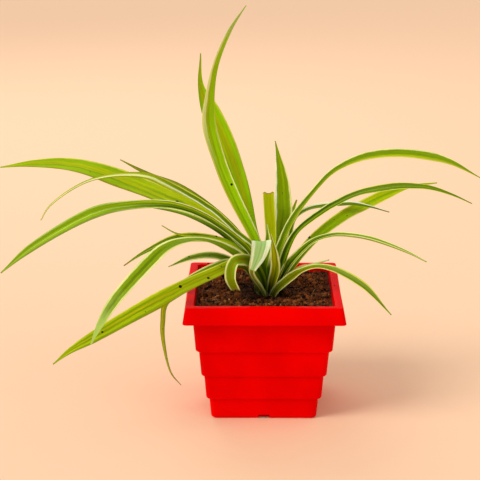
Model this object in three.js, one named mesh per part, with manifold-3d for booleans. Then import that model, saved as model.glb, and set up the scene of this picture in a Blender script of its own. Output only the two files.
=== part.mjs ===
// A young spider plant in a square nursery pot with stepped walls. Millimetres, +Z up.
// The pot stands on z = 0 around the Z axis, and its front looks along -Y.
import * as THREE from "three";
import { mergeVertices } from "three/addons/utils/BufferGeometryUtils.js";
import Module from "manifold-3d";

const wasm = await Module();
wasm.setup();

// ---- driving sizes ----
const GAP = 0.3; // between pieces that touch on the real plant
const WALL = 1.8; // pot wall
const FLOOR = 2.2; // pot floor
const RIM_TOP = 101.5;
const SKIRT_FOOT = 87.8; // lower edge of the folded rim
const SKIRT_HALF = 65; // half of the pot's greatest width
const RIM_HALF = 62.6; // half of the rim's width at its top
const RIM_ROUND = 0.6; // the rim's two top edges
const TIER_ROUND = 2.4; // radius of a tier's lower edge
const CORNER = 4.5; // radius of the walls' upright corners
const RIM_CORNER = 3.2;
const CORNER_STEPS = 3;
const SLOT_WIDTH = 9; // drain slot at the foot of each wall
const SLOT_HEIGHT = 3.4;
const SLOT_DEPTH = 5; // from the wall's outside inwards
const SOIL_LEVEL = 97;
const SOIL_SINK = 1.6; // drop of the soil's top along the wall
const SOIL_RELIEF = 1.5; // greatest rise and fall of the soil's top
const HEAP = { x: -14, y: 36, rise: 1.8, spread: 20 }; // low heap of soil towards the back wall
const SOIL_STEPS = 5; // along each side of a soil ring
const SOIL_RINGS = [1, 0.94, 0.86, 0.77, 0.68, 0.58, 0.48, 0.38, 0.28, 0.16];
const CROWN = { x: 2, y: -7, radius: 8.9, foot: 80, shoulder: 97, top: 100.8 };
const CROWN_DOME = [[1, 0], [0.7, 0.37], [0.35, 0.8], [0, 1]]; // shares of its radius and height
const CROWN_SIDES = 28;
const COLLAR = 13.4; // radius of the soil round the crown that the leaf roots stay out of
const TINY = 0.02; // shortest step that a cut leaves in a skin
const BLADE = 0.8; // leaf thickness
const BLADE_STEPS = 19;
const ROOT_KEEL = 0.6; // rise of the channel's edges over half its width
const TIP_KEEL = 0.12;
const KEEL_LENGTH = 0.625; // share of the blade over which the keel flattens

// The pot's outside, tier by tier from the foot: half widths at the tier's lower and upper edge.
const TIERS = [
  { foot: 0, low: 43.2, top: 17.6, high: 44.5 },
  { foot: 17.6, low: 47.0, top: 38.6, high: 48.5 },
  { foot: 38.6, low: 50.8, top: 61.0, high: 52.5 },
  { foot: 61.0, low: 55.1, top: RIM_TOP - WALL, high: 58.0 },
];
const NECK_HALF = TIERS[TIERS.length - 1].high;

const PLASTIC = { color: 0xe0060a, roughness: 0.38, metalness: 0 };
const EARTH = { color: 0x3f2416, roughness: 0.96, metalness: 0 };
const STOCK = { color: 0x8d8a4c, roughness: 0.7, metalness: 0 };
const LEAF = { color: 0x76a51a, roughness: 0.5, metalness: 0 };
const OLD_LEAF = { color: 0x8f9320, roughness: 0.55, metalness: 0 };

// Each leaf from root to tip: its path as [x, y, z, width] points, and the direction that its upper
// face looks in, given evenly along it. Front and low leaves come first, as they lie outermost.
const LEAVES = [
  {
    name: "leaf_low_right",
    face: [[-0.2, -0.85, 0.5], [0.5, -0.6, 0.6]],
    path: [
      [6, -14.5, 93, 5], [9.5, -19, 102, 6.5], [16, -24, 110.5, 7], [23, -28.5, 118, 7],
      [31, -33, 124.5, 4.2], [41.5, -38, 129, 4], [56, -47, 129, 6], [78, -61, 120, 6.5],
      [99, -73, 100, 1],
    ],
  },
  {
    name: "leaf_creased_front",
    face: [
      [0, 1, 0.2], [0, 1, 0.2], [0, 1, 0.2], [0, 1, 0.3], [0, 0.8, 0.6],
      [0, 0, 1], [0, -0.8, 0.6], [0, -1, 0.3], [0, -1, 0.2],
    ],
    path: [
      [2, -15.5, 95, 3.6], [-3, -24, 107, 3.8], [-10, -32, 122, 4.6], [-6, -38, 137, 10],
      [-3, -41, 148, 14.5], [-2.5, -42.4, 150.8, 15.5], [-2.5, -44, 149, 15], [-5, -45.5, 139, 11],
      [-9.5, -46.5, 128, 5],
    ],
  },
  {
    name: "leaf_inner_right",
    face: [[-0.5, -0.85, 0.2], [-0.5, -0.85, 0.2]],
    path: [
      [4, -13, 94, 4.4], [7, -17, 108, 8], [9.5, -21, 122, 9], [8.5, -23, 135, 7],
      [5, -24, 152, 1],
    ],
  },
  {
    name: "leaf_inner_left",
    face: [[-0.3, -0.95, 0.2], [-0.3, -0.95, 0.2]],
    path: [
      [2, -12, 94, 4.6], [1.5, -14, 108, 8], [0, -15, 123, 10], [3, -16, 137, 8], [2, -15, 158, 1],
    ],
  },
  {
    name: "leaf_curled_stub",
    face: [[-0.2, -0.8, 0.6], [-0.6, -0.8, -0.2]],
    path: [
      [1, -14, 93, 4.2], [-0.5, -20, 111, 6], [-11, -28, 130, 9.5], [-24, -38, 132.5, 9.5],
      [-27, -41, 120, 10.5], [-22.5, -40, 109, 9.5],
    ],
  },
  {
    name: "leaf_low_left_broad",
    face: [[0.3, -0.6, 0.8], [-0.3, -0.8, 0.6]],
    path: [
      [-2.5, -12.5, 93, 4.2], [-4.5, -16.5, 107, 5], [-9, -19.5, 122, 6.5],
      [-19.5, -23.5, 129.5, 8.5], [-29, -28, 125.5, 9.5], [-64, -49, 115, 11.5],
      [-88, -61, 105, 14], [-134, -79, 83, 10], [-152.5, -85, 73.5, 5], [-165, -88, 64, 1],
    ],
  },
  {
    name: "leaf_low_left_long",
    face: [
      [0.45, -0.55, 0.7], [0.2, -0.7, 0.6], [0, -0.25, 1], [-0.25, -0.85, 0.5], [-0.3, -0.9, 0.5],
    ],
    path: [
      [-3.5, -10.5, 94, 4.2], [-6, -14.5, 110, 5.5], [-11.5, -17, 122, 7.5], [-22, -24, 134, 8.5],
      [-34.5, -33, 144, 8.5], [-48, -44, 152, 7.5], [-62, -55, 155, 8], [-76, -65, 153, 9.5],
      [-88, -73, 144.5, 11.5], [-117, -89, 114.5, 9.5], [-126.5, -94, 99.5, 6], [-134, -98, 84, 1.2],
    ],
  },
  {
    name: "leaf_mid_left_sliver",
    face: [[0.45, -0.55, 0.7], [0, -0.6, 0.8]],
    path: [
      [-2, -10, 94, 3], [-5, -12, 112, 4], [-24, -20, 140, 5], [-39, -26, 148, 4],
      [-69, -41, 156.5, 1.8], [-81, -47, 165, 0.9],
    ],
  },
  {
    name: "leaf_hanging_left",
    face: [[0.3, -0.6, 0.8], [-0.9, -0.4, 0.1]],
    path: [
      [-4.5, -6.5, 94, 3.2], [-6.5, -7.5, 104, 3.6], [-14, -10, 118, 4.2], [-35, -15, 119, 4.8],
      [-55, -21, 109, 5.5], [-79, -29, 95, 6], [-82, -30, 79, 5.8], [-82, -30, 64, 5.4],
      [-76, -30, 35, 3.4], [-68, -30, 24, 0.9],
    ],
    old: true,
  },
  {
    name: "leaf_thin_left",
    face: [[0.3, -0.5, 0.8], [-0.2, -0.6, 0.8]],
    path: [
      [-5, -8.5, 93, 3.2], [-6, -9.5, 106, 4], [-11.5, -11, 120, 5], [-29, -15, 126, 5],
      [-44, -18, 122, 4.5], [-55.5, -20, 117, 3.5], [-71, -22, 109, 0.9],
    ],
  },
  {
    name: "leaf_mid_left_dark",
    face: [[0.45, -0.5, 0.7], [-0.3, -0.7, 0.7]],
    path: [
      [-6.5, -6, 93, 4], [-8, -9, 110, 5.5], [-26, -14, 137, 7.5], [-40, -18, 145, 7.5],
      [-69, -27, 148.5, 9], [-95.5, -33, 139, 4], [-112.5, -36, 128.5, 1],
    ],
  },
  {
    name: "leaf_small_left",
    face: [[0.3, -0.5, 0.8], [-0.2, -0.6, 0.8]],
    path: [
      [-5, -2.5, 93, 3.6], [-8, -3, 105, 4.5], [-15.5, -3, 116, 5], [-39.5, -3, 127, 7.5],
      [-59, -3, 125.5, 6.5], [-78.5, -3, 117.5, 0.9],
    ],
  },
  {
    name: "leaf_arch_left_dark",
    face: [[0.45, -0.5, 0.7], [0, -0.5, 0.85]],
    path: [
      [-4.5, -4.5, 94, 4.2], [-7, -5, 114, 6], [-11, -5, 126, 7], [-21.5, -4, 134, 7.5],
      [-33, -2, 145, 7], [-45.5, 0, 153, 6], [-62.5, 2, 160.5, 5], [-77, 4, 164, 4],
      [-93.5, 6, 166.5, 3], [-103.5, 8, 167.5, 1.2],
    ],
  },
  {
    name: "leaf_arch_left_long",
    face: [[0.5, -0.5, 0.7], [0, -0.7, 0.7]],
    path: [
      [-3, -7.5, 94, 4.4], [-6, -10, 115, 6], [-10.5, -12, 131, 7], [-20.5, -14, 143, 7],
      [-51.5, -23, 167.5, 7], [-77, -29, 177, 8], [-112, -37, 178, 9], [-137, -42, 173, 10.5],
      [-185, -52, 147, 7], [-208, -56, 128.5, 1.2],
    ],
  },
  {
    name: "leaf_arch_left_thin",
    face: [[0.5, -0.5, 0.7], [0, -0.5, 0.85]],
    path: [
      [0, -7, 96, 4], [-4, -8, 123, 5], [-9.5, -9, 136.5, 6], [-23, -9, 148, 7],
      [-42, -9, 166, 8.5], [-79, -7, 188, 8.5], [-98, -6, 195.5, 6.5], [-140.5, -4, 191, 3],
      [-174.5, -2, 169, 1.8], [-182.5, -1, 156.5, 0.9],
    ],
  },
  {
    name: "leaf_arch_left_broad",
    face: [[0.5, -0.5, 0.7], [0, -0.75, 0.65]],
    path: [
      [-1.5, -3.5, 94, 4.4], [-5, 0, 121, 6], [-13, 3, 133.5, 8.5], [-42.5, 14, 152, 12.5],
      [-68.5, 25, 163, 17], [-119, 46, 178.5, 18.5], [-147, 54, 186.5, 15.5], [-170.5, 61, 189, 11.5],
      [-199, 68, 187.5, 6.5], [-226, 74, 183, 1.2],
    ],
  },
  {
    name: "leaf_arch_left_hidden",
    face: [[0.5, -0.4, 0.7], [0, -0.5, 0.85]],
    path: [
      [-2.5, -2, 94, 4.5], [-8.5, 5, 123, 5.5], [-23, 24, 140.5, 5], [-44.5, 44, 156, 5],
      [-73, 62, 170.5, 4.8], [-99, 76, 176.5, 4.5], [-124, 86, 187, 1],
    ],
  },
  {
    name: "leaf_tall_left",
    face: [[0.4, -0.85, 0.3], [0.7, -0.7, -0.1]],
    path: [
      [1.5, -3.5, 95, 4.5], [0, -2, 121, 6], [-6, 0, 136, 8.5], [-27.5, 8, 178.5, 11.5],
      [-37, 13, 202, 12.5], [-45.5, 17, 232.5, 13.5], [-44.5, 20, 256, 9.5], [-39.5, 22, 282, 6.5],
      [-28, 22, 309, 4], [-15, 21, 329, 1],
    ],
  },
  {
    name: "leaf_tall_back",
    face: [[0.4, -0.85, 0.3], [0.5, -0.85, 0]],
    path: [
      [2, -0.5, 94, 4.5], [0, 6, 119, 7], [-9, 13, 140, 9], [-16, 21, 165.5, 12.5],
      [-23, 28, 188, 15.5], [-31.5, 34, 212, 17], [-44.5, 40, 239, 16.5], [-52.5, 44, 260, 5.5],
      [-52.5, 47, 286, 1],
    ],
  },
  {
    name: "leaf_upright_cut",
    face: [[-0.2, -0.95, 0.2], [-0.2, -0.95, 0.1]],
    path: [
      [4.5, -4, 95, 5], [6, -4, 128, 8], [5.5, -1, 149, 9], [4.5, 0, 165, 9.5],
      [3.5, 1, 180, 9.4],
    ],
    old: true,
  },
  {
    name: "leaf_upright_point",
    face: [[0.1, -0.97, 0.2], [0.1, -0.97, 0.1]],
    path: [
      [6, -1.5, 94, 5], [11.5, 3, 123, 8.5], [15.5, 11, 158, 14.5], [15.5, 15, 174, 13.5],
      [14, 18, 191, 9.5], [9, 22, 218, 1],
    ],
  },
  {
    name: "leaf_arch_right_low",
    face: [[-0.3, -0.6, 0.75], [0.2, -0.6, 0.8]],
    path: [
      [9.5, -11, 93, 4.5], [14.5, -14, 111, 6.5], [20.5, -17, 123, 8.5], [30.5, -22, 137, 7.5],
      [40, -27, 147, 5.5], [55.5, -34, 154, 4.5], [72.5, -42, 155.5, 4.5], [88.5, -50, 154, 4.5],
      [112.5, -60, 147, 2.4], [126, -65, 141, 1],
    ],
  },
  {
    name: "leaf_arch_right_mid",
    face: [[-0.4, -0.6, 0.7], [0.2, -0.5, 0.85]],
    path: [
      [6, -10, 94, 4.4], [14, -12, 118.5, 7], [20.5, -14, 139, 7.5], [27.5, -17, 152.5, 6],
      [40, -20, 164.5, 6.5], [56, -24, 176.5, 6.5], [74, -28, 186.5, 6.5], [91, -32, 191.5, 7.5],
      [108.5, -36, 194.5, 7], [129.5, -41, 194.5, 5], [146.5, -45, 190, 2.5], [162, -48, 183.5, 1],
    ],
  },
  {
    name: "leaf_arch_right_high",
    face: [[-0.4, -0.6, 0.7], [0.2, -0.6, 0.8]],
    path: [
      [5.5, -7.5, 95, 4.5], [10, -7, 123, 6], [14, -6, 138, 6.5], [23, -3, 158, 6],
      [38.5, 3, 178, 4.5], [55.5, 9, 195, 5], [75.5, 14, 204.5, 7], [93.5, 19, 207.5, 8.5],
      [113.5, 23, 207.5, 9.5], [136.5, 27, 204, 9.5], [155, 31, 198, 6.5], [180, 35, 184, 1],
    ],
  },
  {
    name: "leaf_broad_right",
    face: [[-0.3, -0.8, 0.5], [0.1, -0.75, 0.65]],
    path: [
      [8.5, -6, 94, 5], [17.5, -3, 110, 7], [30, 5, 125.5, 7.8], [43.5, 14, 138.5, 8.8],
      [66.5, 28, 152.5, 10], [84.5, 40, 159, 10], [102.5, 50, 165, 9], [123.5, 60, 170, 4],
      [149, 73, 170, 1],
    ],
  },
  {
    name: "leaf_small_right",
    face: [[-0.2, -0.6, 0.8], [0.2, -0.6, 0.8]],
    path: [
      [10.5, -6.5, 93, 3.6], [19, -5, 104.5, 4.5], [28.5, -2, 115.5, 4], [39, 1, 118, 2.8],
      [54, 6, 121, 0.9],
    ],
  },
  {
    name: "leaf_thin_right",
    face: [[-0.3, -0.6, 0.8], [0.1, -0.6, 0.8]],
    path: [
      [8.5, -2, 93, 3.8], [14, 3, 115, 5], [20, 12, 136, 5.5], [25.5, 20, 153, 5],
      [35.5, 24, 159.5, 4.5], [47.5, 27, 162, 5], [63.5, 29, 163, 5], [75, 30, 163, 4.5],
      [89, 31, 160, 2.4], [105, 32, 155, 1],
    ],
  },
  {
    name: "leaf_small_back",
    face: [[-0.3, -0.8, 0.5], [0.1, -0.8, 0.5]],
    path: [
      [5, 1, 93, 3.8], [12, 12, 117, 5], [17, 26, 134, 5.5], [22, 38, 147, 5],
      [28, 49, 161, 1.4],
    ],
  },
];

// ---- helpers ----
function solidOf(geometry) {
  const plain = geometry.clone();
  plain.deleteAttribute("normal");
  plain.deleteAttribute("uv");
  const merged = mergeVertices(plain, 1e-4);
  const vertProperties = new Float32Array(merged.attributes.position.array);
  const triVerts = new Uint32Array(merged.index.array);
  return new wasm.Manifold(new wasm.Mesh({ numProp: 3, vertProperties, triVerts }));
}

function meshOf(name, solid, look) {
  const { vertProperties, triVerts } = solid.getMesh();
  const geometry = new THREE.BufferGeometry();
  geometry.setAttribute("position", new THREE.BufferAttribute(vertProperties, 3));
  geometry.setIndex(new THREE.BufferAttribute(triVerts, 1));
  geometry.computeVertexNormals();
  const mesh = new THREE.Mesh(geometry, new THREE.MeshStandardMaterial(look));
  mesh.name = name;
  return mesh;
}

// The largest of the pieces that a cut leaves.
function largest(solid) {
  return solid.decompose().sort((a, b) => b.volume() - a.volume())[0];
}

// The middle of a loop's points.
function middleOf(loop) {
  const sum = loop.reduce((total, point) => total.add(point), new THREE.Vector3());
  return sum.divideScalar(loop.length);
}

// A closed skin over a stack of loops with equally many points, with a fan over either end.
function loft(loops) {
  const count = loops[0].length;
  const top = (loops.length - 1) * count;
  const points = [...loops.flat(), middleOf(loops[0]), middleOf(loops[loops.length - 1])];
  const faces = [];
  for (let i = 0; i < count; i++) {
    const next = (i + 1) % count;
    for (let row = 0; row < top; row += count) {
      const [a, b] = [row + i, row + next];
      faces.push(a, b, b + count, a, b + count, a + count);
    }
    faces.push(next, i, top + count);
    faces.push(top + i, top + next, top + count + 1);
  }
  const geometry = new THREE.BufferGeometry().setFromPoints(points);
  geometry.setIndex(faces);
  return geometry;
}

// A level square loop with rounded corners, anticlockwise from above.
function squareLoop(half, corner, z, sideSteps) {
  const loop = [];
  const origin = new THREE.Vector2();
  for (let side = 0; side < 4; side++) {
    const turn = (side * Math.PI) / 2;
    const centre = new THREE.Vector2(half - corner, half - corner).rotateAround(origin, turn);
    for (let k = 0; k <= CORNER_STEPS; k++) {
      const angle = turn + ((k / CORNER_STEPS) * Math.PI) / 2;
      const x = centre.x + corner * Math.cos(angle);
      const y = centre.y + corner * Math.sin(angle);
      loop.push(new THREE.Vector3(x, y, z));
    }
    const from = loop[loop.length - 1];
    const run = new THREE.Vector2(2 * (corner - half), 0).rotateAround(origin, turn);
    for (let k = 1; k < sideSteps; k++) {
      const share = k / sideSteps;
      loop.push(new THREE.Vector3(from.x + run.x * share, from.y + run.y * share, z));
    }
  }
  return loop;
}

// ---- pot ----
// [half width, height] up the stepped wall, moved in by inset and up by lift.
function wallOutline(inset, lift) {
  const outline = [];
  for (const tier of TIERS) {
    for (const angle of [0, 30, 60, 90]) {
      const a = THREE.MathUtils.degToRad(angle);
      const half = tier.low - TIER_ROUND * (1 - Math.sin(a)) - inset;
      outline.push([half, tier.foot + TIER_ROUND * (1 - Math.cos(a)) + lift]);
    }
    outline.push([tier.high - inset, tier.top + lift]);
  }
  return outline;
}

// One skin: up the outside, over the folded rim with its hollow skirt, and down the inside.
function potSolid() {
  const rim = [
    [RIM_HALF - WALL, RIM_TOP - WALL],
    [SKIRT_HALF - WALL, SKIRT_FOOT],
    [SKIRT_HALF, SKIRT_FOOT],
    [RIM_HALF, RIM_TOP - RIM_ROUND],
    [RIM_HALF - RIM_ROUND, RIM_TOP],
    [NECK_HALF - WALL + RIM_ROUND, RIM_TOP],
    [NECK_HALF - WALL, RIM_TOP - RIM_ROUND],
  ];
  const inside = wallOutline(WALL, FLOOR).slice(0, -1).reverse();
  const loops = [...wallOutline(0, 0), ...rim, ...inside].map(([half, z]) =>
    squareLoop(half, half > NECK_HALF ? RIM_CORNER : CORNER, z, 1),
  );
  let pot = solidOf(loft(loops));
  for (let side = 0; side < 4; side++) {
    const slot = new THREE.BoxGeometry(SLOT_WIDTH, SLOT_DEPTH * 2, SLOT_HEIGHT * 2);
    slot.translate(0, -TIERS[0].low, 0);
    slot.rotateZ((side * Math.PI) / 2);
    pot = pot.subtract(solidOf(slot));
  }
  return pot;
}

// ---- soil ----
// Crumbly relief: a few crossed waves that never line up, and one low round heap.
function relief(x, y) {
  const broad = Math.sin(x * 0.11 + 1.3) * Math.cos(y * 0.13 - 0.4);
  const lumps = Math.sin(x * 0.41 + y * 0.23) * Math.cos(y * 0.37 - x * 0.19 + 0.8);
  const crumbs = Math.sin(x * 0.93 - y * 0.71) * Math.sin(y * 1.07 + x * 0.31);
  const away = Math.hypot(x - HEAP.x, y - HEAP.y) / HEAP.spread;
  const heap = HEAP.rise * Math.exp((-away * away) / 2);
  return SOIL_RELIEF * (0.45 * broad + 0.35 * lumps + 0.2 * crumbs) + heap;
}

// The soil fills the pot, sinks a little along the wall and has a plain hole for the crown.
function soilSolid() {
  const wall = wallOutline(WALL + GAP, FLOOR + GAP).filter(([, z]) => z < SOIL_LEVEL);
  const [lowHalf, lowZ] = wall[wall.length - 1];
  const climb = (NECK_HALF - WALL - GAP - lowHalf) / (RIM_TOP - lowZ);
  const edge = lowHalf + climb * (SOIL_LEVEL - SOIL_SINK - lowZ);
  const loops = wall.map(([half, z]) => squareLoop(half, CORNER, z, SOIL_STEPS));
  for (const share of SOIL_RINGS) {
    const loop = squareLoop(edge * share, CORNER * share, SOIL_LEVEL, SOIL_STEPS);
    for (const point of loop) {
      point.z += relief(point.x, point.y) - SOIL_SINK * share ** 8;
    }
    loops.push(loop);
  }
  return solidOf(loft(loops)).subtract(crownPlug(CROWN.radius + GAP, CROWN.foot - GAP, RIM_TOP));
}

// ---- crown: the short stock that the leaves grow from ----
function crownPlug(radius, from, to) {
  const geometry = new THREE.CylinderGeometry(radius, radius, to - from, CROWN_SIDES);
  geometry.rotateX(Math.PI / 2);
  geometry.translate(CROWN.x, CROWN.y, (from + to) / 2);
  return solidOf(geometry);
}

function crownSolid(grow) {
  const { radius, foot, shoulder, top } = CROWN;
  const dome = CROWN_DOME.map(([across, up]) => [radius * across, shoulder + (top - shoulder) * up]);
  const profile = [
    new THREE.Vector2(0, foot - grow),
    new THREE.Vector2(radius * 0.7 + grow, foot - grow),
    new THREE.Vector2(radius + grow, foot + radius * 0.4),
    ...dome.map(([r, z]) => new THREE.Vector2(r > 0 ? r + grow : 0, z + grow)),
  ];
  const geometry = new THREE.LatheGeometry(profile, CROWN_SIDES);
  geometry.rotateX(Math.PI / 2);
  geometry.translate(CROWN.x, CROWN.y, 0);
  return solidOf(geometry);
}

// ---- leaves ----
// The direction at share t of a list that is spread evenly from root to tip.
function blend(list, t) {
  const place = Math.min(t * (list.length - 1), list.length - 1.001);
  const from = Math.floor(place);
  const after = new THREE.Vector3(...list[from + 1]);
  return new THREE.Vector3(...list[from]).lerp(after, place - from);
}

// A blade follows its path with a keeled, channelled section that flattens towards the tip.
// With grow, it is the room that the blade takes up: thicker, wider and longer by that much.
function leafSolid(leaf, grow) {
  const route = leaf.path.map(([x, y, z]) => new THREE.Vector3(x, y, z));
  const path = new THREE.CatmullRomCurve3(route, false, "centripetal");
  const widths = new THREE.SplineCurve(leaf.path.map(([, , , w], i) => new THREE.Vector2(i, w)));
  const loops = [];
  for (let i = 0; i <= BLADE_STEPS; i++) {
    const t = i / BLADE_STEPS;
    const along = path.getTangent(t);
    const centre = path.getPoint(t);
    if (i === 0) centre.addScaledVector(along, -grow);
    if (i === BLADE_STEPS) centre.addScaledVector(along, grow);
    const up = blend(leaf.face, t);
    up.addScaledVector(along, -up.dot(along)).normalize();
    const side = up.clone().cross(along);
    const reach = Math.max(widths.getPoint(t).y, BLADE) / 2 + grow;
    const keel = reach * THREE.MathUtils.lerp(ROOT_KEEL, TIP_KEEL, Math.min(1, t / KEEL_LENGTH));
    const half = BLADE / 2 + grow;
    const section = [[-1, -half], [0, -half], [1, -half], [1, half], [0, half], [-1, half]];
    const place = ([across, rise]) =>
      centre
        .clone()
        .addScaledVector(side, across * reach)
        .addScaledVector(up, Math.abs(across) * keel + rise);
    loops.push(section.map(place));
  }
  return solidOf(loft(loops));
}

// ---- the plant in its pot ----
const plant = new THREE.Group();
plant.add(meshOf("pot", potSolid(), PLASTIC));
plant.add(meshOf("crown", crownSolid(0), STOCK));

// The leaves stand on the crown, clear of what lies round it. Where their bases crowd, each gives
// way to those already standing, and the soil to all of them.
const ground = crownPlug(COLLAR, CROWN.foot, CROWN.shoulder + GAP);
const standing = [crownSolid(GAP), ground];
let soil = soilSolid();
for (const leaf of LEAVES) {
  const left = standing.reduce((blade, other) => blade.subtract(other), leafSolid(leaf, 0));
  const room = leafSolid(leaf, GAP);
  soil = soil.subtract(room);
  standing.push(room);
  plant.add(meshOf(leaf.name, largest(left).simplify(TINY), leaf.old ? OLD_LEAF : LEAF));
}
plant.add(meshOf("soil", largest(soil).simplify(TINY), EARTH));

export default plant;
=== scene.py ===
"""A young spider plant in a square red nursery pot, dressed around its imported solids.

Metres, +Z up. The pot stands on z = 0 around the Z axis and its front looks along -Y.
"""
import math

import bpy
import numpy as np
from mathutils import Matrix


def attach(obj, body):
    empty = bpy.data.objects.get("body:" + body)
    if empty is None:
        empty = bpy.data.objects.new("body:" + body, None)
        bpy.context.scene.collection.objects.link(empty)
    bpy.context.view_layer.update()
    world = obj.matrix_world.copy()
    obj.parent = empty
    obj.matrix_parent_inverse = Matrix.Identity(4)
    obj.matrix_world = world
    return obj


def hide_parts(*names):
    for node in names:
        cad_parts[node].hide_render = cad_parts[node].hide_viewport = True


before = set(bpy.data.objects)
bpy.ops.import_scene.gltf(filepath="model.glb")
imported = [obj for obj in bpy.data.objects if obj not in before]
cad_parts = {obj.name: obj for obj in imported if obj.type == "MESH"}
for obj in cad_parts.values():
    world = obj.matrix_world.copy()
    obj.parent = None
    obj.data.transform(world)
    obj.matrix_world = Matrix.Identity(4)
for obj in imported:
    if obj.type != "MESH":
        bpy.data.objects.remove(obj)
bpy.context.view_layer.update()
MM = 0.001

# ======== Pot ========
# A square nursery pot, injection moulded in one piece from red polypropylene. Its walls rise in four
# stepped tiers, its rim folds outwards and hangs as a skirt, and each wall has a drain slot at its foot.
WALL = 1.8
FLOOR = 2.2
RIM_TOP = 101.5
SKIRT_FOOT = 87.8
SKIRT_HALF = 65.0
RIM_HALF = 62.6
EDGE = 0.55  # rounding of the rim's and the skirt's edges
TIER_ROUND = 2.4
WALL_CORNER = 4.5
INNER_CORNER = 3.4
RIM_CORNER = 3.2
# Each tier: foot height, half width there, top height, half width there.
TIERS = [
    (0.0, 43.2, 17.6, 44.5), (17.6, 47.0, 38.6, 48.5), (38.6, 50.8, 61.0, 52.5), (61.0, 55.1, 99.7, 58.0),
]
NECK_HALF = TIERS[-1][3]
WALL_BOW = 0.35  # how far the middle of each wall pulls in as the plastic cools
SLOT_WIDTH = 9.0
SLOT_HEIGHT = 3.4
SLOT_DEPTH = 5.0
SLOT_ROUND = 0.6
SLOT_OVERCUT = 2.0  # how far the cut runs out below the foot
POT_RED = (236, 0, 3)
POT_DEEP_RED = (224, 0, 2)
POT_SCUFF = (240, 60, 50)


def arc(middle, height, radius, start, end, steps=5):
    """Points of a round edge: its centre plus the radius turned from start to end degrees above level."""
    angle = np.radians(np.linspace(start, end, steps))
    return np.stack([middle + radius * np.cos(angle), height + radius * np.sin(angle)], axis=1)


def wall_line(inset, lift):
    """The stepped wall from its foot up as (half width, height) points: each tier is a quarter-round foot
    and a straight rise, moved in by inset and up by lift."""
    line = []
    for foot, low, top, high in TIERS:
        line.append(arc(low - TIER_ROUND - inset, foot + TIER_ROUND + lift, TIER_ROUND, -90, 0, 8))
        climbed = np.linspace(0, 1, 7)[1:, None]
        line.append((1 - climbed) * line[-1][-1] + climbed * np.array([high - inset, top + lift]))
    return np.concatenate(line)


def square_track(turns, steps):
    """How a square ring runs: for every place the corner centre it belongs to, as shares of the half
    width less the corner's radius, and the outward direction. Corners turn, and sides slide between two
    centres."""
    centres, outwards = [], []
    for side in range(4):
        start = side * math.pi / 2
        angle = start + np.linspace(0, math.pi / 2, turns + 1)
        here = math.sqrt(2) * np.array([math.cos(start + math.pi / 4), math.sin(start + math.pi / 4)])
        following = np.array([-here[1], here[0]])
        share = (np.arange(1, steps) / steps)[:, None]
        outward = np.stack([np.cos(angle), np.sin(angle)], axis=1)
        centres += [np.tile(here, (turns + 1, 1)), (1 - share) * here + share * following]
        outwards += [outward, np.tile(outward[-1], (steps - 1, 1))]
    return np.concatenate(centres), np.concatenate(outwards)


def square_rings(line, corners, turns=8, steps=24, bow=0.0):
    """Rings[row, place] of rounded squares: place = (half - corner) * centre + corner * outward, for each
    (half, height) of the line, with the sides pulled in by bow times one minus their share squared."""
    centres, outwards = square_track(turns, steps)
    half, height = line[:, 0, None], line[:, 1, None]
    corner = np.minimum(corners, line[:, 0] / 2)[:, None]
    pull = bow * (1 - np.min(np.abs(centres), axis=1) ** 2) * (half / SKIRT_HALF)
    x = (half - corner) * centres[:, 0] + (corner - pull) * outwards[:, 0]
    y = (half - corner) * centres[:, 1] + (corner - pull) * outwards[:, 1]
    return np.stack([x, y, np.broadcast_to(height, x.shape)], axis=-1) * MM


def ring_faces(rings):
    """The numbers of the places in rings[row, place], the same numbers moved on by one place, and a
    four-sided face between every two places of two rows."""
    rows, count = rings.shape[:2]
    index = np.arange(rows * count).reshape(rows, count)
    after = np.roll(index, -1, axis=1)
    return index, after, np.stack([index[:-1], after[:-1], after[1:], index[1:]], axis=-1).reshape(-1, 4)


def skin(name, rings):
    """A closed mesh over rings[row, place]: the faces between its rows, and a fan of triangles from a
    middle point over the first and the last ring."""
    rows, count = rings.shape[:2]
    index, after, quads = ring_faces(rings)
    first = np.stack([after[0], index[0], np.full(count, rows * count)], axis=-1)
    last = np.stack([index[-1], after[-1], np.full(count, rows * count + 1)], axis=-1)
    ends = np.stack([rings[0].mean(axis=0), rings[-1].mean(axis=0)])
    points = np.concatenate([rings.reshape(-1, 3), ends])
    mesh = bpy.data.meshes.new(name)
    mesh.from_pydata(points.tolist(), [], quads.tolist() + first.tolist() + last.tolist())
    mesh.shade_smooth()
    return mesh


def piece(name, mesh, material, nodes=()):
    """Puts a finished mesh into the scene as a piece that rides on the plant and replaces its solids."""
    made = bpy.data.objects.new(name, mesh)
    bpy.context.scene.collection.objects.link(made)
    mesh.materials.append(material)
    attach(made, "root")
    if nodes:
        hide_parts(*nodes)
    return made


def shade(red, green, blue):
    """A colour given in screen steps of 0 to 255, as the shader's linear amounts."""
    return tuple((step / 255) ** 2.2 for step in (red, green, blue)) + (1.0,)


def wire(tree, socket, source):
    """Sets a node's input, or links it where the source is another node's output."""
    if isinstance(source, bpy.types.NodeSocket):
        tree.links.new(source, socket)
    else:
        socket.default_value = source


def reckon(tree, operation, *terms):
    """One step of arithmetic on numbers and sockets."""
    node = tree.nodes.new("ShaderNodeMath")
    node.operation = operation
    for socket, term in zip(node.inputs, terms):
        wire(tree, socket, term)
    return node.outputs[0]


def rise(tree, amount, low, high):
    """A smooth step from 0 where amount is low to 1 where it is high."""
    node = tree.nodes.new("ShaderNodeMapRange")
    node.interpolation_type = "SMOOTHSTEP"
    for name, source in (("Value", amount), ("From Min", low), ("From Max", high)):
        wire(tree, node.inputs[name], source)
    return node.outputs[0]


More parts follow.
